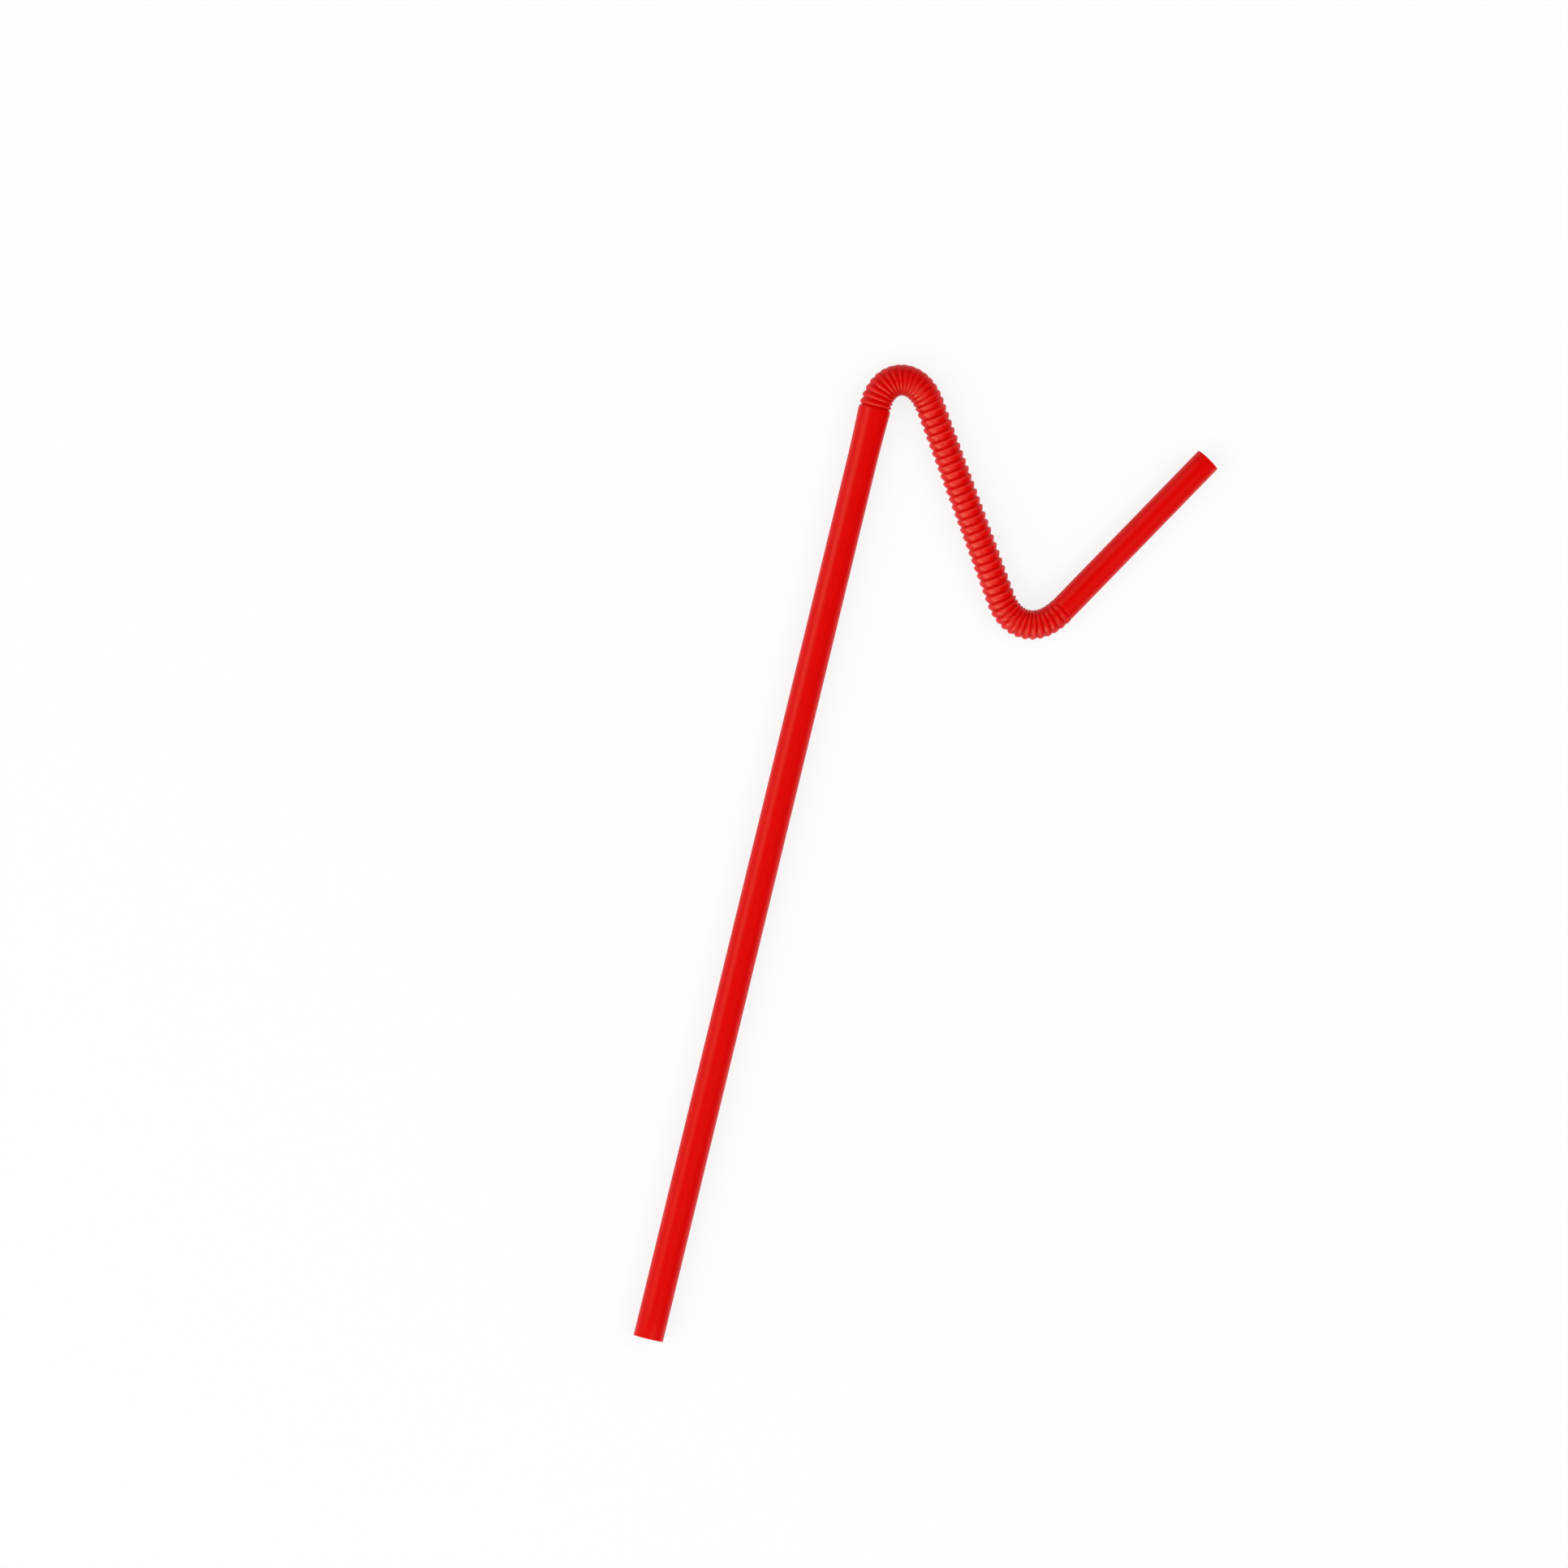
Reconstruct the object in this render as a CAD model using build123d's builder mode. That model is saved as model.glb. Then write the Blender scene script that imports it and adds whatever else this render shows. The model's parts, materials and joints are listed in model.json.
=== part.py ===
"""Flexible drinking straw, lying down: a long stem, a bellows bent into a zigzag and a short mouth tube.

One thin-walled piece, open at both ends, with the ribs of the bellows standing on a smooth bore.
The stem runs along +Y and the bends lie flat, towards +X. Millimetres and degrees.
The origin is on the floor, under the middle of the lying straw.
"""

import os
from math import pi, radians, sin

from build123d import *

# Tube
wall = 0.2
stem_diameter = 6.0
stem_length = 190.0
mouth_diameter = 5.3
mouth_length = 41.2

# Top of the stem, which flares and then slopes in to the first groove
flare_length = 12.5
flare_rise = 0.22
shoulder_length = 0.7

# Ribs, whose steep side faces the stem; the first ones come down from the flare to the stem's width,
# and the last ones go down towards the mouth tube, where the grooves get shallow too
groove_depth = 0.48
rise_share = 0.3
flare_taper_ribs = 16
mouth_taper_ribs = 6
last_rib_diameter = 5.55
last_groove_share = 0.4

# First bend, back down beside the stem; the fold is the crest spacing inside its tightest rib,
# and the groove share is what the grooves in its middle, pulled all but flat, keep of their depth
first_bend_ribs = 16
first_bend_angle = 145.7
first_bend_fold = 0.28
first_bend_edge_share = 0.36
first_bend_groove_share = 0.2

# Run of open ribs, all but straight
run_ribs = 25
run_angle = 0.3
run_pitch = 1.62

# Second bend, up again to the mouth tube, with deeper grooves in its middle
second_bend_ribs = 13
second_bend_angle = 115.2
second_bend_fold = 0.52
second_bend_edge_share = 0.47
second_bend_groove_share = 1.35

stem_radius = stem_diameter / 2
mouth_radius = mouth_diameter / 2
last_rib_radius = last_rib_diameter / 2
flare_radius = stem_radius + flare_rise
shoulder_start = stem_length - shoulder_length
flare_start = shoulder_start - flare_length


def rib_turns(ribs, angle, edge_share):
    """Degrees that each rib of a bend turns: least at the bend's ends and most in its middle."""
    weights = [edge_share + (1 - edge_share) * sin(pi * rib / ribs) for rib in range(1, ribs + 1)]
    return [angle * weight / sum(weights) for weight in weights]


def groove_shares(ribs, middle_share):
    """What each groove of a bend keeps of its depth: nearly all at the ends, a share in the middle."""
    return [1 + (middle_share - 1) * sin(pi * rib / (ribs + 1)) for rib in range(1, ribs + 1)]


def open_pitch(turns, fold):
    """Crest spacing on the outside of a bend, where every rib is pulled open."""
    return fold + stem_diameter * radians(max(turns))


def step(plane, advance, turn):
    """The plane carried forward along its normal while it turns about the vertical."""
    return plane.rotated((0, 0, turn / 2)).offset(advance).rotated((0, 0, turn / 2))


def every_other(rings):
    """Every second ring, with the first and the last kept."""
    return rings[:-1:2] + rings[-1:]


# Pitch, turn and groove share of every rib, from the stem to the mouth tube
first_turns = rib_turns(first_bend_ribs, first_bend_angle, first_bend_edge_share)
second_turns = rib_turns(second_bend_ribs, second_bend_angle, second_bend_edge_share)
first_shares = groove_shares(first_bend_ribs, first_bend_groove_share)
second_shares = groove_shares(second_bend_ribs, second_bend_groove_share)
first_pitch = open_pitch(first_turns, first_bend_fold)
second_pitch = open_pitch(second_turns, second_bend_fold)
ribs = [(first_pitch, -turn, share) for turn, share in zip(first_turns, first_shares)]
ribs += [(run_pitch, -run_angle / run_ribs, 1)] * run_ribs
ribs += [(second_pitch, turn, share) for turn, share in zip(second_turns, second_shares)]

# Plane and radius of every ring where the outside folds: groove, crest, groove and so on
plane = Plane(origin=(0, stem_length, 0), x_dir=(0, 0, -1), z_dir=(0, 1, 0))
rings = [(plane, flare_radius - groove_depth)]
for number, (pitch, turn, groove_share) in enumerate(ribs):
    flare_share = max(1 - number / flare_taper_ribs, 0)
    mouth_share = max(1 - (len(ribs) - 1 - number) / mouth_taper_ribs, 0)
    crest_radius = stem_radius + flare_rise * flare_share - (stem_radius - last_rib_radius) * mouth_share
    depth = groove_depth * groove_share * (1 - (1 - last_groove_share) * mouth_share)
    advance = pitch - stem_radius * radians(abs(turn))
    plane = step(plane, rise_share * advance, rise_share * turn)
    rings.append((plane, crest_radius))
    plane = step(plane, (1 - rise_share) * advance, (1 - rise_share) * turn)
    rings.append((plane, crest_radius - depth))

# The last groove opens out to the mouth tube
mouth_plane = step(plane, rise_share * run_pitch, 0)
mouth_ring = (mouth_plane, mouth_radius)

# The bore keeps one wall inside the grooves, in short lengths round the bends and one length along the run
grooves = rings[::2]
run_end = first_bend_ribs + run_ribs
bore_rings = every_other(grooves[: first_bend_ribs + 1]) + every_other(grooves[run_end:]) + [mouth_ring]

# The straw in the stem's own frame, with the stem's cut end at zero
with BuildPart() as bent:
    with BuildSketch(Plane.XY):
        with BuildLine():
            for inset in (0, wall):
                tube_edge = stem_radius - inset
                flare_edge = flare_radius - inset
                groove_edge = flare_edge - groove_depth
                Line((tube_edge, 0), (tube_edge, flare_start))
                TangentArc((tube_edge, flare_start), (flare_edge, shoulder_start), tangent=(0, 1))
                Line((flare_edge, shoulder_start), (groove_edge, stem_length))
            Line((stem_radius - wall, 0), (stem_radius, 0))
            Line((groove_edge, stem_length), (groove_edge + wall, stem_length))
        make_face()
    revolve(axis=Axis.Y)

    for ring_plane, ring_radius in rings + [mouth_ring]:
        with BuildSketch(ring_plane):
            Circle(ring_radius)
    loft(ruled=True)

    for ring_plane, ring_radius in bore_rings:
        with BuildSketch(ring_plane):
            Circle(ring_radius - wall)
    loft(ruled=True, mode=Mode.SUBTRACT)

    with BuildSketch(mouth_plane):
        Circle(mouth_radius)
        Circle(mouth_radius - wall, mode=Mode.SUBTRACT)
    extrude(amount=mouth_length)

# The same straw as it lies, with the middle of its box over the origin
lying_box = bent.part.bounding_box()
with BuildPart() as straw:
    with Locations((-lying_box.center().X, -lying_box.center().Y, -lying_box.min.Z)):
        add(bent.part)

straw.part.label = "straw"
os.makedirs("parts", exist_ok=True)
export_step(straw.part, "parts/straw.step")
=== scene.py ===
"""Looks of a flexible drinking straw that lies on a pale floor: its folded wall, its red plastic, a studio.

The straw is shaped straight, ring by ring, and then bent the way a hand bends it. Lengths are metres and
angles radians, so drawn sizes are written with MM and math.radians. Only the lamps' angles are degrees.
"""

import json
import logging
import math
from dataclasses import asdict, dataclass
from enum import Enum
from typing import Any, Mapping, Sequence, Union

import bmesh
import bpy
from mathutils import Matrix, Vector


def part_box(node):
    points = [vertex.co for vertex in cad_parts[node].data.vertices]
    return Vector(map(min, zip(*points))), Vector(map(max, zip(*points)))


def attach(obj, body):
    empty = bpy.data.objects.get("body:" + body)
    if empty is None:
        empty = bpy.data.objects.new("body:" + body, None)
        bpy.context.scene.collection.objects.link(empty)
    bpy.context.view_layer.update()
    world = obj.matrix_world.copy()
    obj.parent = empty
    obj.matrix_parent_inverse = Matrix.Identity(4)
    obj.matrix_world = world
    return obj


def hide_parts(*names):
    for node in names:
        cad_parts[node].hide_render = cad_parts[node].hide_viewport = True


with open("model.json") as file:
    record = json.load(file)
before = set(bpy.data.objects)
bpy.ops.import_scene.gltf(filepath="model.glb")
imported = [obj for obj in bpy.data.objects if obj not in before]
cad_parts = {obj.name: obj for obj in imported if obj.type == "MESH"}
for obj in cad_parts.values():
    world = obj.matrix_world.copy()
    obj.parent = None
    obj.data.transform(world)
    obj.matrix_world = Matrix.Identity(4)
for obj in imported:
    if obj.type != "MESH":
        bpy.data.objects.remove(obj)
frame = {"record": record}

LOG = logging.getLogger("straw")
MM = 0.001
RAYS_THAT_SHOW = ("Camera", "Glossy", "Transmission")
# Axes of a place on a straw that lies along +Y: X up, Y to the right and Z ahead
HEADING_ALONG_Y = Matrix(((0, 1, 0, 0), (0, 0, 1, 0), (1, 0, 0, 0), (0, 0, 0, 1)))

Colour = tuple[float, float, float]
Operand = Union["Wire", float]


class Side(Enum):
    """The two sides of the straw's wall."""

    OUTSIDE = 1
    INSIDE = -1


class Toward(Enum):
    """The way that a lamp stands, in degrees clockwise from the top of the picture."""

    RIGHT = 97.0
    BOTTOM = 178.0
    BOTTOM_LEFT = 210.0
    LEFT = 260.0
    UPPER_LEFT = 300.0


class Effect(Enum):
    """What a lamp is for, with its colour: light that a surface scatters, or sheen that it mirrors."""

    FILL = (1.0, 1.0, 1.0)
    SHEEN = (1.0, 0.97, 0.66)


class Wire:
    """A node's output socket that takes part in arithmetic, one Math node for each operation."""

    def __init__(self, graph: "Graph", socket: bpy.types.NodeSocket) -> None:
        """Keeps the socket and the graph that it belongs to."""
        self.graph = graph
        self.socket = socket

    def math(self, operation: str, first: Operand, second: Operand = 0.0) -> "Wire":
        """Adds a Math node.

        Args:
            operation: Name of the operation.
            first: Value or wire on the left.
            second: Value or wire on the right.

        Returns:
            The result.
        """
        return self.graph.add("ShaderNodeMath", {"operation": operation}, {0: first, 1: second})

    def __add__(self, other: Operand) -> "Wire":
        """Sum with a value or wire."""
        return self.math("ADD", self, other)

    def __radd__(self, other: Operand) -> "Wire":
        """Sum with a value on the left."""
        return self.math("ADD", other, self)

    def __sub__(self, other: Operand) -> "Wire":
        """Difference from a value or wire."""
        return self.math("SUBTRACT", self, other)

    def __rsub__(self, other: Operand) -> "Wire":
        """A value on the left less this wire."""
        return self.math("SUBTRACT", other, self)

    def __mul__(self, other: Operand) -> "Wire":
        """Product with a value or wire."""
        return self.math("MULTIPLY", self, other)

    def __rmul__(self, other: Operand) -> "Wire":
        """Product with a value on the left."""
        return self.math("MULTIPLY", other, self)

    def __abs__(self) -> "Wire":
        """Size without its sign."""
        return self.math("ABSOLUTE", self)

    def ramp(self, start: float, end: float) -> "Wire":
        """Eases from 0 to 1 while this value goes from start to end.

        Args:
            start: Value at which the result is 0.
            end: Value at which the result is 1; it may be the smaller one.

        Returns:
            The eased value.
        """
        settings = {"interpolation_type": "SMOOTHSTEP"}
        return self.graph.add("ShaderNodeMapRange", settings, {"Value": self, 1: start, 2: end})


class Graph:
    """The nodes of a material or of the world."""

    def __init__(self, owner: bpy.types.ID) -> None:
        """Gives the owner an empty set of nodes.

        Args:
            owner: Material or world.
        """
        owner.use_nodes = True
        self.tree = owner.node_tree
        self.tree.nodes.clear()

    def add(
        self,
        kind: str,
        settings: Mapping[str, Any],
        sockets: Mapping[Union[str, int], Any],
        output: Union[str, int] = 0,
    ) -> Wire:
        """Adds a node.

        Args:
            kind: Type of the node.
            settings: Properties of the node, set before its sockets.
            sockets: Values or wires for its inputs, by name or place.
            output: Name or place of the output that is used.

        Returns:
            That output, or the first input of a node that has no output.
        """
        node = self.tree.nodes.new(kind)
        for name, value in settings.items():
            setattr(node, name, value)
        for key, value in sockets.items():
            socket = self.pick(node.inputs, key)
            if isinstance(value, Wire):
                self.tree.links.new(value.socket, socket)
            else:
                socket.default_value = value
        return Wire(self, self.pick(node.outputs if node.outputs else node.inputs, output))

    @staticmethod
    def pick(sockets: Any, key: Union[str, int]) -> bpy.types.NodeSocket:
        """Finds a socket in use by its name or place.

        Args:
            sockets: Inputs or outputs of a node.
            key: Name or place.

        Returns:
            The socket.
        """
        if isinstance(key, int):
            return sockets[key]
        return next(socket for socket in sockets if socket.enabled and socket.name == key)

    def blend(self, factor: Operand, first: Any, second: Any) -> Wire:
        """Mixes two colours.

        Args:
            factor: Share of the second colour.
            first: Colour or wire.
            second: Colour or wire.

        Returns:
            The mixed colour.
        """
        paints = [paint if isinstance(paint, Wire) else (*paint, 1.0) for paint in (first, second)]
        sockets = {"Factor": factor, "A": paints[0], "B": paints[1]}
        return self.add("ShaderNodeMix", {"data_type": "RGBA"}, sockets, "Result")


@dataclass(frozen=True)
class Speckle:
    """Soft noise on the straw, as if it were not bent.

    Attributes:
        density: Specks per metre round the tube.
        length: How many times longer than wide a speck is, along the tube.
        detail: Number of finer layers in it.
    """

    density: float
    length: float = 1.0
    detail: float = 2.0

    def draw(self, graph: Graph, unbent: Wire) -> Wire:
        """Adds the noise to a graph.

        Args:
            graph: The graph.
            unbent: Coordinates on the straight straw.

        Returns:
            The noise, from 0 to 1.
        """
        stretch = (self.density, self.density, self.density / self.length)
        scaled = graph.add("ShaderNodeVectorMath", {"operation": "MULTIPLY"}, {0: unbent, 1: stretch})
        return graph.add("ShaderNodeTexNoise", {}, {"Vector": scaled, "Scale": 1.0, "Detail": self.detail})


@dataclass(frozen=True)
class Weights:
    """How much each pattern on the plastic counts in one of its looks.

    Attributes:
        mottle: Patches of thicker colour.
        lines: Lines along the tube, left by the die.
        grain: Grain of the skin.
        crest: Crests of the ribs, where the paler colour is partly stretched plastic and partly painted
            highlight.
        groove: Grooves between the ribs, darkened as painted shade.
        mark: The faint ring round the stem.
    """

    mottle: float = 0.0
    lines: float = 0.0
    grain: float = 0.0
    crest: float = 0.0
    groove: float = 0.0
    mark: float = 0.0

    def total(self, patterns: Mapping[str, Wire]) -> Wire:
        """Adds up the patterns that count.

        Args:
            patterns: The patterns by name.

        Returns:
            Their weighted sum.
        """
        parts = [weight * patterns[name] for name, weight in asdict(self).items() if weight]
        return sum(parts[1:], parts[0])


@dataclass(frozen=True)
class SatinPlastic:
    """Red polypropylene, coloured through, with the satin skin that a drawn tube has.

    Attributes:
        body: Colour of the plain tube.
        deep: Colour where the colour lies thicker, and the painted shade of the grooves.
        strained: Colour of the crests, which pale where the wall was stretched, with a painted highlight
            added.
        deepening: What takes the colour towards the thicker one, including the painted groove shade.
        paling: What takes the colour towards the pale crest colour, including the painted crest highlight.
        roughness: Roughness before the patterns change it.
        roughening: What the patterns add to it.
        gloss: Strength of the reflection that shows at right angles.
        refraction: How strongly the plastic bends light.
        lines: Lines along the tube, left by the die.
        grain: Grain of the skin.
        mottle: Patches of thicker colour.
        crest_from: Height on a rib from which it pales, partly as painted highlight.
        groove_below: Height on a rib below which painted shade darkens its colour.
        mark_width: Half the width of the faint ring round the stem.
        relief: What stands out from the skin.
        relief_height: Height of what stands out.
        relief_strength: Share of that height which shows.
    """

    body: Colour = (0.71, 0.0, 0.0)
    # Darker red stands for thicker colour and for painted shade in the grooves; the pale crest red is
    # partly painted highlight
    deep: Colour = (0.57, 0.0, 0.0)
    strained: Colour = (0.80, 0.045, 0.04)
    deepening: Weights = Weights(mottle=0.35, lines=0.25, groove=0.55)
    paling: Weights = Weights(grain=0.02, crest=0.45, mark=0.09)
    roughness: float = 0.26
    roughening: Weights = Weights(mottle=0.08, grain=0.08, crest=-0.048)
    gloss: float = 0.12
    refraction: float = 1.49
    lines: Speckle = Speckle(density=2600.0, length=120.0)
    grain: Speckle = Speckle(density=5200.0, detail=3.0)
    mottle: Speckle = Speckle(density=420.0, length=4.0)
    crest_from: float = 0.80
    groove_below: float = 0.20
    mark_width: float = 0.16 * MM
    relief: Weights = Weights(lines=0.6, grain=0.4, mark=0.2)
    relief_height: float = 0.012 * MM
    relief_strength: float = 0.35

    def patterns(self, graph: Graph, mark_along: float) -> dict[str, Wire]:
        """Adds the patterns that the looks are made of.

        Args:
            graph: Graph of the material.
            mark_along: Distance of the stem's faint ring from the cut end.

        Returns:
            The patterns by name, each from 0 to 1.
        """
        unbent = graph.add("ShaderNodeAttribute", {"attribute_name": "unbent"}, {}, "Vector")
        rib = graph.add("ShaderNodeAttribute", {"attribute_name": "rib"}, {}, "Fac")
        along = graph.add("ShaderNodeSeparateXYZ", {}, {0: unbent}, "Z")
        return {
            "mottle": self.mottle.draw(graph, unbent),
            "lines": self.lines.draw(graph, unbent),
            "grain": self.grain.draw(graph, unbent),
            # Crest paling is partly painted highlight; the groove pattern paints shade in the grooves
            "crest": rib.ramp(self.crest_from, 1.0),
            "groove": rib.ramp(self.groove_below, 0.0),
            "mark": abs(along - mark_along).ramp(self.mark_width, 0.0),
        }

    def material(self, name: str, mark_along: float) -> bpy.types.Material:
        """Makes the material.

        Args:
            name: Its name.
            mark_along: Distance of the stem's faint ring from the cut end.

        Returns:
            The material, which reads the mesh's "unbent" and "rib" attributes.
        """
        material = bpy.data.materials.new(name)
        graph = Graph(material)
        patterns = self.patterns(graph, mark_along)
        # Thicker colour and painted groove shade darken the red; stretched crests pale it, partly as
        # painted highlight
        paint = graph.blend(self.deepening.total(patterns), self.body, self.deep)
        paint = graph.blend(self.paling.total(patterns), paint, self.strained)
        height = self.relief.total(patterns)
        sizes = {"Strength": self.relief_strength, "Distance": self.relief_height, "Height": height}
        bump = graph.add("ShaderNodeBump", {}, sizes)
        looks = {
            "Base Color": paint,
            "Roughness": self.roughness + self.roughening.total(patterns),
            "Normal": bump,
            "Specular IOR Level": self.gloss,
            "IOR": self.refraction,
        }
        shader = graph.add("ShaderNodeBsdfPrincipled", {}, looks)
        graph.add("ShaderNodeOutputMaterial", {}, {"Surface": shader})
        return material


@dataclass(frozen=True)
class PaleFloor:
    """Matt white board, lit from within just enough to show white and still take a shadow.

    Attributes:
        colour: Colour of the board.
        glow: Brightness that it shows by itself.
        glow_share: Share of what is seen that comes from that brightness.
    """

    colour: Colour = (0.88, 0.88, 0.88)
    glow: float = 1.0
    glow_share: float = 0.80

    def material(self, name: str) -> bpy.types.Material:
        """Makes the material.

        Args:
            name: Its name.

        Returns:
            The material.
        """
        material = bpy.data.materials.new(name)
        graph = Graph(material)
        rays = [graph.add("ShaderNodeLightPath", {}, {}, f"Is {kind} Ray") for kind in RAYS_THAT_SHOW]
        seen = sum(rays[1:], rays[0])
        matt = graph.add("ShaderNodeBsdfDiffuse", {}, {"Color": (*self.colour, 1.0)})
        lit = graph.add("ShaderNodeEmission", {}, {"Strength": self.glow})
        shader = graph.add("ShaderNodeMixShader", {}, {0: self.glow_share * seen, 1: matt, 2: lit})
        graph.add("ShaderNodeOutputMaterial", {}, {"Surface": shader})
        material.cycles.emission_sampling = "NONE"
        return material


@dataclass(frozen=True)
class Spot:
    """A place on the straw's centre line.

    Attributes:
        along: Distance from the cut end, before the straw is bent.
        placement: Frame at that place on the bent straw, with Z along the straw and X up.
    """

    along: float
    placement: Matrix

    def ahead(self, advance: float, turn: float = 0.0) -> "Spot":
        """Goes on along the centre line, turning about the vertical on the way.

        Args:
            advance: Distance to go.
            turn: Angle to turn through, to the left where it is positive.

        Returns:
            The place that is reached.
        """
        half_turn = Matrix.Rotation(turn / 2, 4, "X")
        move = half_turn @ Matrix.Translation((0.0, 0.0, advance)) @ half_turn
        return Spot(self.along + advance, self.placement @ move)


@dataclass(frozen=True)
class Ring:
    """One ring of the straw's wall.

    Attributes:
        spot: Where its centre is.
        radius: Its radius.
        height: How far up a rib its colour is, from 0 for painted groove shade to 1 for a crest, partly
            painted highlight.
        shift: How far its middle lies to the right of the centre line.
    """

    spot: Spot
    radius: float
    height: float
    shift: float = 0.0

    def bend(self) -> Matrix:
        """Carries the ring from the straight straw to its place on the bent one."""
        return self.spot.placement @ Matrix.Translation((0.0, self.shift, -self.spot.along))


@dataclass(frozen=True)
class Wall:
    """What the straw's parts share: the thickness of the wall and the rounding of a cut edge.

    Attributes:
        thickness: Thickness of the wall.
        edge: Radius of a cut edge.
        edge_rings: Number of rings round that edge.
        plain_height: Height on a rib that stands for plain tube.
        ring_gap: Distance between the rings of a plain tube.
    """

    thickness: float
    edge: float = 0.035 * MM
    edge_rings: int = 4
    plain_height: float = 0.6
    ring_gap: float = 4.4 * MM

    def radius(self, outer: float, side: Side) -> float:
        """Radius of one side of the wall.

        Args:
            outer: Radius of its outside.
            side: Side that is wanted.

        Returns:
            The radius of that side.
        """
        return outer if side is Side.OUTSIDE else outer - self.thickness

    def cut_edge(self, end: Spot, radius: float, side: Side, inward: int) -> list[Ring]:
        """Rings round a cut edge, from the cut face to the tube.

        Args:
            end: Middle of the cut face.
            radius: Radius of this side of the tube.
            side: Side of the wall.
            inward: 1 where the tube runs ahead from the cut, and -1 where it runs back.

        Returns:
            The rings.
        """
        rings = []
        for number in range(self.edge_rings):
            angle = math.pi / 2 * number / (self.edge_rings - 1)
            drop = self.edge * (1 - math.sin(angle))
            spot = end.ahead(inward * self.edge * (1 - math.cos(angle)))
            rings.append(Ring(spot, radius - side.value * drop, self.plain_height))
        return rings

    def tube(self, start: Spot, length: float, radius: float) -> list[Ring]:
        """Rings along a plain tube, both ends left out.

        Args:
            start: Middle of its first end.
            length: Its length.
            radius: Radius of this side of the tube.

        Returns:
            The rings.
        """
        gaps = max(round(length / self.ring_gap), 2)
        spots = [start.ahead(length * number / gaps) for number in range(1, gaps)]
        return [Ring(spot, radius, self.plain_height) for spot in spots]


@dataclass(frozen=True)
class Stem:
    """The long plain tube, with its square-cut end and the flare below the bellows.

    Attributes:
        wall: What the straw's parts share.
        radius: Outside radius of the plain tube.
        plain_length: Length of the plain tube.
        flare_length: Length over which it widens.
        flare_rise: How far the outside widens.
        shoulder_length: Length of the rounded shoulder that leads in to the first groove.
        groove_depth: Depth of the first groove.
        flare_rings: Number of rings on the flare.
        shoulder_rings: Number of rings round the shoulder.
        mark_below_groove: Distance from the first groove back to the faint ring round the stem.
    """

    wall: Wall
    radius: float
    plain_length: float
    flare_length: float = 12.5 * MM
    flare_rise: float = 0.22 * MM
    shoulder_length: float = 0.7 * MM
    groove_depth: float = 0.48 * MM
    flare_rings: int = 10
    shoulder_rings: int = 8
    mark_below_groove: float = 15.1 * MM

    @property
    def length(self) -> float:
        """Length from the cut end to the first groove."""
        return self.plain_length + self.flare_length + self.shoulder_length

    def rings(self, start: Spot, side: Side) -> list[Ring]:
        """Rings from the cut end to just short of the first groove.

        Args:
            start: Middle of the cut face.
            side: Side of the wall.

        Returns:
            The rings.
        """
        radius = self.wall.radius(self.radius, side)
        flare_start = start.ahead(self.plain_length)
        shoulder_start = flare_start.ahead(self.flare_length)
        rings = self.wall.cut_edge(start, radius, side, 1)
        rings += self.wall.tube(start, self.plain_length, radius)
        for number in range(self.flare_rings):
            share = number / self.flare_rings
            spot = flare_start.ahead(share * self.flare_length)
            rings.append(Ring(spot, radius + self.flare_rise * share**2, self.wall.plain_height))
        for number in range(self.shoulder_rings):
            angle = math.pi / 2 * number / self.shoulder_rings
            drop = self.groove_depth * (1 - math.cos(angle))
            spot = shoulder_start.ahead(self.shoulder_length * math.sin(angle))
            # The colour height falls to a groove's here, so the painted groove shade reaches up the
            # shoulder
            height = self.wall.plain_height * math.cos(angle)
            rings.append(Ring(spot, radius + self.flare_rise - drop, height))
        return rings


@dataclass(frozen=True)
class Groove:
    """A groove between two ribs, which may be deeper on one side of the straw than on the other.

    Attributes:
        radius: Its outside radius.
        shift: How far its middle lies to the right of the centre line.
    """

    radius: float
    shift: float = 0.0


@dataclass(frozen=True)
class RingPlan:
    """Where one side of a rib has rings, beside the one in the groove before it.

    Attributes:
        arcs: Number of gaps between the rings round the crest.
        steep_shares: Places of the rings between the groove and the crest's rounding.
        shallow_shares: Places of the rings between the crest's rounding and the next groove.
    """

    arcs: int
    steep_shares: tuple[float, ...]
    shallow_shares: tuple[float, ...]


RING_PLANS = {
    Side.OUTSIDE: RingPlan(6, (0.25, 0.6), (0.22, 0.44, 0.66, 0.84, 0.95)),
    Side.INSIDE: RingPlan(2, (), (0.5,)),
}


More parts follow.
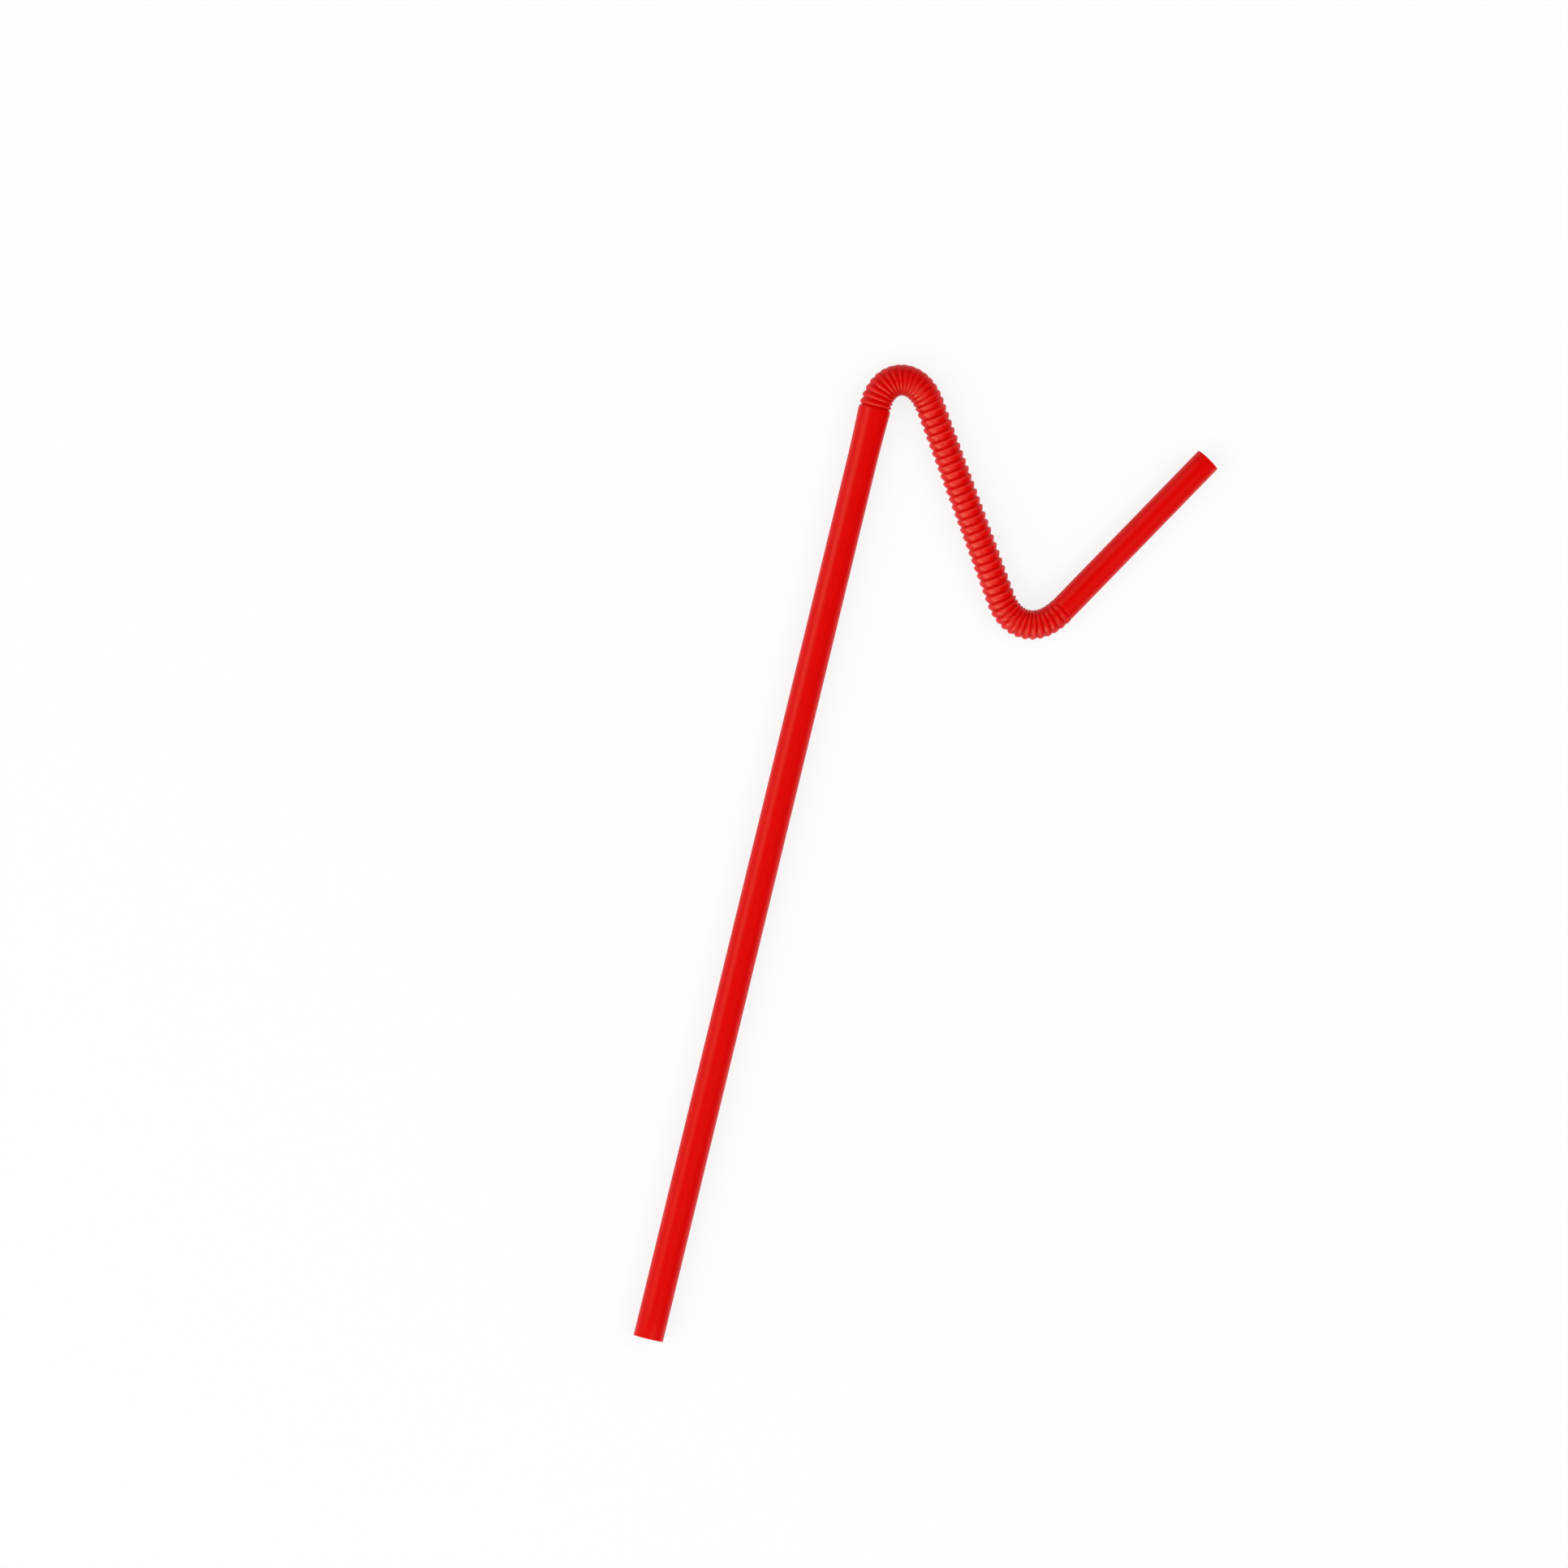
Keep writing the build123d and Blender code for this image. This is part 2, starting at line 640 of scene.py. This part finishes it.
@dataclass(frozen=True)
class RibForm:
    """Profile of a rib: a leaning tooth with a steep rise, a rounded crest and a bulging fall.

    Attributes:
        rise_share: Share of the rib's length that the steep side takes.
        rounding: Share of its length over which the crest is rounded, to each side.
        bulge: How much the side after the crest bulges, where 0 is straight.
    """

    rise_share: float = 0.3
    rounding: float = 0.08
    bulge: float = 0.5

    @property
    def slopes(self) -> tuple[float, float]:
        """Slopes of the rise and of the fall where they meet, both as positive numbers."""
        return 1 / self.rise_share, (1 - self.bulge) / (1 - self.rise_share)

    @property
    def top_share(self) -> float:
        """Share of the way across the rib where its rounded crest is highest."""
        rise, fall = self.slopes
        return self.rise_share + self.rounding * (rise - fall) / (rise + fall)

    def height(self, share: float) -> float:
        """Height of the wall, where a parabola rounds the corner between the rise and the fall.

        Args:
            share: Share of the way across the rib, from groove to groove.

        Returns:
            The height, from 0 in a groove to 1 on the crest.
        """
        rise_slope, fall_slope = self.slopes
        past = (share - self.rise_share) / (1 - self.rise_share)
        rise = share * rise_slope
        fall = (1 - past) * (1 + self.bulge * past)
        reach = self.rounding * (rise_slope + fall_slope)
        overlap = max(reach - abs(rise - fall), 0.0)
        top = 1 - self.rounding * rise_slope * fall_slope / (rise_slope + fall_slope)
        return (min(rise, fall) - overlap**2 / (4 * reach)) / top

    def shares(self, side: Side) -> list[float]:
        """Shares of the way across the rib where its wall has rings, closest together round the crest.

        Args:
            side: Side of the wall.

        Returns:
            The shares, starting in the groove.
        """
        plan = RING_PLANS[side]
        crest_start = self.rise_share - self.rounding
        crest_end = self.rise_share + self.rounding
        steep = [crest_start * share for share in plan.steep_shares]
        crest = [crest_start + 2 * self.rounding * number / plan.arcs for number in range(plan.arcs + 1)]
        shallow = [crest_end + (1 - crest_end) * share for share in plan.shallow_shares]
        return [0.0, *steep, *crest, *shallow]


@dataclass(frozen=True)
class Rib:
    """One rib of the bellows.

    Attributes:
        form: Its profile.
        before: The groove before it.
        after: The groove after it.
        crest: Outside radius of its crest.
        advance: Its length on the centre line.
        turn: Angle that it turns through, to the left where it is positive.
        relief: How much of a full rib's relief it still has.
    """

    form: RibForm
    before: Groove
    after: Groove
    crest: float
    advance: float
    turn: float
    relief: float

    def spot(self, start: Spot, share: float) -> Spot:
        """Place on the centre line, reached by way of the crest.

        Args:
            start: Middle of the groove before.
            share: Share of the way across the rib.

        Returns:
            The place.
        """
        first = min(share, self.form.rise_share)
        rest = share - first
        crest = start.ahead(first * self.advance, first * self.turn)
        return crest.ahead(rest * self.advance, rest * self.turn)

    def rings(self, start: Spot, side: Side, wall: Wall) -> list[Ring]:
        """Rings from the groove before to just short of the groove after.

        Args:
            start: Middle of the groove before.
            side: Side of the wall.
            wall: What the straw's parts share.

        Returns:
            The rings.
        """
        rings = []
        for share in self.form.shares(side):
            height = self.form.height(share)
            groove = self.before if share < self.form.top_share else self.after
            radius = groove.radius + (self.crest - groove.radius) * height
            shift = groove.shift * (1 - height)
            # A rib pulled flat takes the painted groove shade, apart from a crest line that is partly
            # painted highlight
            painted_height = max(1 - (1 - height) / self.relief, 0.0)
            rings.append(Ring(self.spot(start, share), wall.radius(radius, side), painted_height, shift))
        return rings


@dataclass(frozen=True)
class Bend:
    """Ribs of the bellows that turn together.

    Attributes:
        ribs: Number of ribs.
        angle: Angle that they turn through, to the left where it is positive.
        fold: Spacing of the crests inside the tightest rib.
        edge_share: Turn of the bend's end ribs, as a share of the turn in its middle.
        outside_share: What the grooves in its middle keep of their depth on the outside of the bend.
        inside_share: What they keep on the inside of the bend.
        spread: How far its middle reaches towards its ends, where 1 is the middle rib alone.
        form: Profile of its ribs.
    """

    ribs: int
    angle: float
    fold: float
    edge_share: float = 1.0
    outside_share: float = 1.0
    inside_share: float = 1.0
    spread: float = 1.5
    form: RibForm = RibForm()

    def turns(self) -> list[float]:
        """Angle that each rib turns through, least at the ends of the bend."""
        weights = [
            self.edge_share + (1 - self.edge_share) * math.sin(math.pi * rib / self.ribs)
            for rib in range(1, self.ribs + 1)
        ]
        return [self.angle * weight / sum(weights) for weight in weights]

    def advances(self, radius: float) -> list[float]:
        """Length of each rib on the centre line, when every rib is pulled open on the outside of the bend.

        Args:
            radius: Outside radius of the ribs.

        Returns:
            The lengths.
        """
        sizes = [abs(turn) for turn in self.turns()]
        open_pitch = self.fold + 2 * radius * max(sizes)
        return [open_pitch - radius * size for size in sizes]

    def groove(self, number: int, crest: float, depth: float) -> Groove:
        """The groove after one of the ribs.

        Args:
            number: Number of the rib in the bend, from 0.
            crest: Outside radius of the rib's crest.
            depth: Depth of a groove where the bellows is straight.

        Returns:
            The groove.
        """
        middle = min(self.spread * math.sin(math.pi * (number + 1) / (self.ribs + 1)), 1.0)
        outside = depth * (1 + (self.outside_share - 1) * middle)
        inside = depth * (1 + (self.inside_share - 1) * middle)
        shift = math.copysign(1.0, self.angle) * (inside - outside) / 2
        return Groove(crest - (inside + outside) / 2, shift)


@dataclass(frozen=True)
class Bellows:
    """The ribbed part of the wall, bent into a zigzag.

    Attributes:
        wall: What the straw's parts share.
        radius: Outside radius of the crests.
        flare_rise: How much wider the first crest is.
        groove_depth: Depth of the grooves.
        flare_ribs: Number of ribs over which the first crest's width is lost.
        mouth_ribs: Number of ribs that get smaller towards the mouth tube.
        last_radius: Outside radius of the last crest.
        last_share: Depth of the last groove, as a share of the others'.
        bends: The stretches of ribs, from the stem on.
    """

    wall: Wall
    radius: float
    flare_rise: float
    groove_depth: float
    flare_ribs: int = 16
    mouth_ribs: int = 6
    last_radius: float = 2.775 * MM
    last_share: float = 0.4
    bends: tuple[Bend, ...] = (
        Bend(
            ribs=16,
            angle=math.radians(-145.7),
            fold=0.28 * MM,
            edge_share=0.36,
            outside_share=0.24,
            inside_share=0.30,
            spread=1.0,
            form=RibForm(rounding=0.10, bulge=0.60),
        ),
        Bend(ribs=25, angle=math.radians(-0.3), fold=1.62 * MM),
        Bend(
            ribs=13,
            angle=math.radians(115.2),
            fold=0.52 * MM,
            edge_share=0.47,
            outside_share=0.88,
            inside_share=0.40,
            form=RibForm(rise_share=0.33, rounding=0.17, bulge=0.60),
        ),
    )

    def ribs(self) -> list[Rib]:
        """The ribs in order, from the stem to the mouth tube."""
        ribs: list[Rib] = []
        count = sum(bend.ribs for bend in self.bends)
        groove = Groove(self.radius + self.flare_rise - self.groove_depth)
        for bend in self.bends:
            for number, (advance, turn) in enumerate(zip(bend.advances(self.radius), bend.turns())):
                flare_share = max(1 - len(ribs) / self.flare_ribs, 0.0)
                mouth_share = max(1 - (count - 1 - len(ribs)) / self.mouth_ribs, 0.0)
                crest = self.radius + self.flare_rise * flare_share
                crest -= (self.radius - self.last_radius) * mouth_share
                depth = self.groove_depth * (1 - (1 - self.last_share) * mouth_share)
                after = bend.groove(number, crest, depth)
                relief = min((crest - after.radius) / self.groove_depth, 1.0)
                ribs.append(Rib(bend.form, groove, after, crest, advance, turn, relief))
                groove = after
        return ribs

    def rings(self, start: Spot, side: Side) -> list[Ring]:
        """Rings from the first groove to just short of the last.

        Args:
            start: Middle of the first groove.
            side: Side of the wall.

        Returns:
            The rings.
        """
        rings = []
        spot = start
        for rib in self.ribs():
            rings += rib.rings(spot, side, self.wall)
            spot = rib.spot(spot, 1.0)
        return rings

    def end(self, start: Spot) -> Spot:
        """Middle of the last groove.

        Args:
            start: Middle of the first groove.

        Returns:
            The place.
        """
        spot = start
        for rib in self.ribs():
            spot = rib.spot(spot, 1.0)
        return spot


@dataclass(frozen=True)
class MouthTube:
    """The short plain tube that the mouth takes, with the step up to it from the last groove.

    Attributes:
        wall: What the straw's parts share.
        radius: Outside radius of the tube.
        length: Length of the tube.
        groove: The last groove.
        step_length: Length of the step.
        step_rings: Number of rings on the step.
    """

    wall: Wall
    radius: float
    length: float
    groove: Groove
    step_length: float = 0.486 * MM
    step_rings: int = 6

    def rings(self, start: Spot, side: Side) -> list[Ring]:
        """Rings from the last groove to the cut end.

        Args:
            start: Middle of the last groove.
            side: Side of the wall.

        Returns:
            The rings.
        """
        rise = self.radius - self.groove.radius
        rings = []
        for number in range(self.step_rings):
            angle = math.pi / 2 * number / self.step_rings
            share = math.sin(angle)
            spot = start.ahead(self.step_length * (1 - math.cos(angle)))
            radius = self.wall.radius(self.groove.radius + rise * share, side)
            shift = self.groove.shift * (1 - share)
            # The colour height rises from the groove's, so the painted groove shade fades up the step
            rings.append(Ring(spot, radius, self.wall.plain_height * share, shift))
        base = start.ahead(self.step_length)
        radius = self.wall.radius(self.radius, side)
        rings += [Ring(base, radius, self.wall.plain_height)]
        rings += self.wall.tube(base, self.length, radius)
        rings += reversed(self.wall.cut_edge(base.ahead(self.length), radius, side, -1))
        return rings


@dataclass(frozen=True)
class Straw:
    """The whole straw: one wall that runs from the cut end through the bellows to the mouth.

    Attributes:
        start: Middle of the cut end.
        stem: The long plain tube.
        bellows: The ribbed part.
        mouth: The short plain tube.
        finish: Its plastic.
        segments: Number of faces round a ring.
    """

    start: Spot
    stem: Stem
    bellows: Bellows
    mouth: MouthTube
    finish: SatinPlastic = SatinPlastic()
    segments: int = 72

    @classmethod
    def from_record(cls, record: Mapping[str, Any]) -> "Straw":
        """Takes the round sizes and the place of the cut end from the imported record.

        Args:
            record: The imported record.

        Returns:
            The straw.
        """
        mounts = {mount["name"]: mount for mount in record["mounts"]}
        outside, bore, mouth_bore = (mounts[name] for name in ("stem", "stem_bore", "mouth_bore"))
        radius = outside["dims"]["r_mm"] * MM
        plain_length = outside["dims"]["length_mm"] * MM
        wall = Wall(thickness=radius - bore["dims"]["r_mm"] * MM)
        stem = Stem(wall, radius, plain_length)
        bellows = Bellows(wall, radius, stem.flare_rise, stem.groove_depth)
        mouth = MouthTube(
            wall,
            radius=mouth_bore["dims"]["r_mm"] * MM + wall.thickness,
            length=mouth_bore["dims"]["length_mm"] * MM,
            groove=bellows.ribs()[-1].after,
        )
        cut_end = Vector(outside["pos_m"]) + Vector(outside["axis"]) * plain_length / 2
        start = Spot(0.0, Matrix.Translation(cut_end) @ HEADING_ALONG_Y)
        return cls(start, stem, bellows, mouth)

    def rings(self, side: Side) -> list[Ring]:
        """Rings of one side of the wall, from the cut end to the mouth.

        Args:
            side: Side of the wall.

        Returns:
            The rings.
        """
        first_groove = self.start.ahead(self.stem.length)
        last_groove = self.bellows.end(first_groove)
        return (
            self.stem.rings(self.start, side)
            + self.bellows.rings(first_groove, side)
            + self.mouth.rings(last_groove, side)
        )

    def build(self, name: str) -> bpy.types.Object:
        """Spins the wall as a straight straw and then bends it, ring by ring.

        Args:
            name: Name of the object.

        Returns:
            The object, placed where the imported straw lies.
        """
        rings = self.rings(Side.OUTSIDE) + self.rings(Side.INSIDE)[::-1]
        shape = bmesh.new()
        number = shape.verts.layers.int.new("ring")
        unbent = shape.verts.layers.float_vector.new("unbent")
        rib = shape.verts.layers.float.new("rib")
        self.draw_section(shape, rings, number)
        self.spin_section(shape)
        bends = [ring.bend() for ring in rings]
        for vert in shape.verts:
            vert[unbent] = vert.co
            # The rib attribute drives the painted groove shade and the crest colour, partly painted
            # highlight
            vert[rib] = rings[vert[number]].height
            vert.co = bends[vert[number]] @ vert.co
        bmesh.ops.recalc_face_normals(shape, faces=shape.faces)
        for face in shape.faces:
            face.smooth = True
        shape.verts.layers.int.remove(number)
        mesh = bpy.data.meshes.new(name)
        shape.to_mesh(mesh)
        shape.free()
        straw = bpy.data.objects.new(name, mesh)
        bpy.context.scene.collection.objects.link(straw)
        return straw

    @staticmethod
    def draw_section(
        shape: bmesh.types.BMesh, rings: Sequence[Ring], number: bmesh.types.BMLayerItem
    ) -> None:
        """Draws the closed section of the straight wall, from one vertex that is extruded along it.

        Args:
            shape: Empty mesh to draw in.
            rings: The rings in order.
            number: Layer for the place of each vertex's ring in that order.
        """
        points = [Vector((ring.radius, 0.0, ring.spot.along)) for ring in rings]
        first = last = bmesh.ops.create_vert(shape, co=points[0])["vert"][0]
        for place, (here, there) in enumerate(zip(points, points[1:]), start=1):
            last = bmesh.ops.extrude_vert_indiv(shape, verts=[last])["verts"][0]
            bmesh.ops.translate(shape, vec=there - here, verts=[last])
            last[number] = place
        bmesh.ops.contextual_create(shape, geom=[first, last])

    def spin_section(self, shape: bmesh.types.BMesh) -> None:
        """Spins the section all the way round the straight straw's middle line.

        Args:
            shape: Mesh that holds the section.
        """
        bmesh.ops.spin(
            shape,
            geom=[*shape.verts, *shape.edges],
            cent=(0.0, 0.0, 0.0),
            axis=(0.0, 0.0, 1.0),
            angle=2 * math.pi,
            steps=self.segments,
            use_merge=True,
        )

    def dress(self, straw: bpy.types.Object) -> None:
        """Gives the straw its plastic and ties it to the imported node.

        Args:
            straw: The built straw.
        """
        mark_along = self.stem.length - self.stem.mark_below_groove
        straw.data.materials.append(self.finish.material("red_polypropylene", mark_along))
        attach(straw, "root")
        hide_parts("straw")


@dataclass(frozen=True)
class Softbox:
    """A soft lamp with a flat face that is aimed at the straw and stays out of the picture.

    Attributes:
        name: Its name.
        effect: What it is for.
        toward: The way that it stands.
        elevation: Its angle above the floor, in degrees.
        width: Its size along the floor.
        height: Its other size.
        glow: Brightness of its face, where 1 is white.
        distance: Its distance from the straw.
    """

    name: str
    effect: Effect
    toward: Toward
    elevation: float
    width: float
    height: float
    glow: float
    distance: float = 2.0

    def hang(self, target: Vector, lean: float) -> None:
        """Hangs the lamp.

        Args:
            target: Point that it is aimed at.
            lean: Angle that the picture is turned by, anticlockwise.
        """
        heading = math.pi / 2 - math.radians(self.toward.value) + lean
        elevation = math.radians(self.elevation)
        level = math.cos(elevation)
        away = Vector((math.cos(heading) * level, math.sin(heading) * level, math.sin(elevation)))
        light = bpy.data.lights.new(self.name, "AREA")
        light.shape = "RECTANGLE"
        light.size = self.width
        light.size_y = self.height
        light.energy = self.glow * math.pi * self.width * self.height
        light.color = self.effect.value
        light.cycles.use_multiple_importance_sampling = False
        lamp = bpy.data.objects.new(self.name, light)
        lamp.location = target + away * self.distance
        lamp.rotation_euler = away.to_track_quat("Z", "Y").to_euler()
        lamp.visible_camera = False
        lamp.visible_diffuse = self.effect is Effect.FILL
        lamp.visible_glossy = self.effect is Effect.SHEEN
        bpy.context.scene.collection.objects.link(lamp)


@dataclass(frozen=True)
class Studio:
    """Floor, lamps, world and camera.

    Attributes:
        lean: Angle that the picture is turned by, anticlockwise.
        tilt: Angle that the camera is swung by round the stem, away from the bends.
        centre: Point of the floor under the middle of the picture.
        view_width: Width of the picture at the straw.
        camera_distance: Distance of the camera from the straw.
        sensor: Width of the camera's sensor, in its own millimetres.
        floor_size: Width of the floor.
        room_level: Brightness of the room round the straw.
        lamps: The lamps.
    """

    lean: float = math.radians(13.69)
    tilt: float = math.radians(8.0)
    centre: tuple[float, float] = (-33.12 * MM, 13.30 * MM)
    view_width: float = 310.8 * MM
    camera_distance: float = 2.4
    sensor: float = 36.0
    floor_size: float = 30.0
    room_level: float = 0.10
    lamps: tuple[Softbox, ...] = (
        Softbox("ceiling_panel", Effect.FILL, Toward.BOTTOM, 90.0, width=5.0, height=5.0, glow=0.84),
        Softbox("left_panel", Effect.FILL, Toward.LEFT, 32.0, width=2.4, height=2.0, glow=1.6),
        Softbox("right_panel", Effect.FILL, Toward.RIGHT, 32.0, width=2.4, height=2.0, glow=1.15),
        Softbox("low_panel", Effect.FILL, Toward.BOTTOM_LEFT, 25.0, width=2.4, height=1.6, glow=0.55),
        Softbox("key_softbox", Effect.SHEEN, Toward.UPPER_LEFT, 31.0, width=1.2, height=1.2, glow=4.9),
        Softbox("front_panel", Effect.SHEEN, Toward.BOTTOM, 48.0, width=1.9, height=1.6, glow=3.5),
        Softbox("low_strip", Effect.SHEEN, Toward.BOTTOM_LEFT, 10.0, width=3.8, height=0.8, glow=14.0),
    )

    def build(self, straw_middle: Vector) -> None:
        """Makes everything round the straw.

        Args:
            straw_middle: Middle of the straw's box.
        """
        self.lay_floor()
        self.light_room()
        for lamp in self.lamps:
            lamp.hang(straw_middle, self.lean)
            LOG.info("lamp %s", lamp.name)
        self.set_camera(straw_middle.z)
        bpy.context.scene.view_settings.view_transform = "Standard"

    def lay_floor(self) -> None:
        """Lays the floor that the straw lies on."""
        shape = bmesh.new()
        bmesh.ops.create_grid(shape, x_segments=1, y_segments=1, size=self.floor_size / 2)
        mesh = bpy.data.meshes.new("floor")
        shape.to_mesh(mesh)
        shape.free()
        mesh.materials.append(PaleFloor().material("pale_board"))
        floor = bpy.data.objects.new("floor", mesh)
        bpy.context.scene.collection.objects.link(floor)

    def light_room(self) -> None:
        """Lights the room, evenly and dimly all round."""
        world = bpy.data.worlds.new("room")
        graph = Graph(world)
        sockets = {"Color": (1.0, 1.0, 1.0, 1.0), "Strength": self.room_level}
        light = graph.add("ShaderNodeBackground", {}, sockets)
        graph.add("ShaderNodeOutputWorld", {}, {"Surface": light})
        bpy.context.scene.world = world

    def set_camera(self, straw_height: float) -> None:
        """Sets the camera, which looks down on the straw.

        Args:
            straw_height: Height of the straw's middle above the floor.
        """
        lens = bpy.data.cameras.new("camera")
        lens.sensor_width = self.sensor
        lens.lens = self.sensor * self.camera_distance / self.view_width
        camera = bpy.data.objects.new("camera", lens)
        camera.matrix_world = (
            Matrix.Translation((*self.centre, straw_height))
            @ Matrix.Rotation(-self.tilt, 4, "Y")
            @ Matrix.Translation((0.0, 0.0, self.camera_distance))
            @ Matrix.Rotation(self.lean, 4, "Z")
        )
        bpy.context.scene.collection.objects.link(camera)
        bpy.context.scene.camera = camera


def main() -> None:
    """Builds the straw and its studio."""
    logging.basicConfig(level=logging.INFO, format="%(name)s: %(message)s")
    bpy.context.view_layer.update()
    straw = Straw.from_record(frame["record"])
    piece = straw.build("red_straw")
    straw.dress(piece)
    LOG.info("piece %s: %d faces", piece.name, len(piece.data.polygons))
    low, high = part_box("straw")
    Studio().build((Vector(low) + Vector(high)) / 2)


if __name__ == "__main__":
    main()
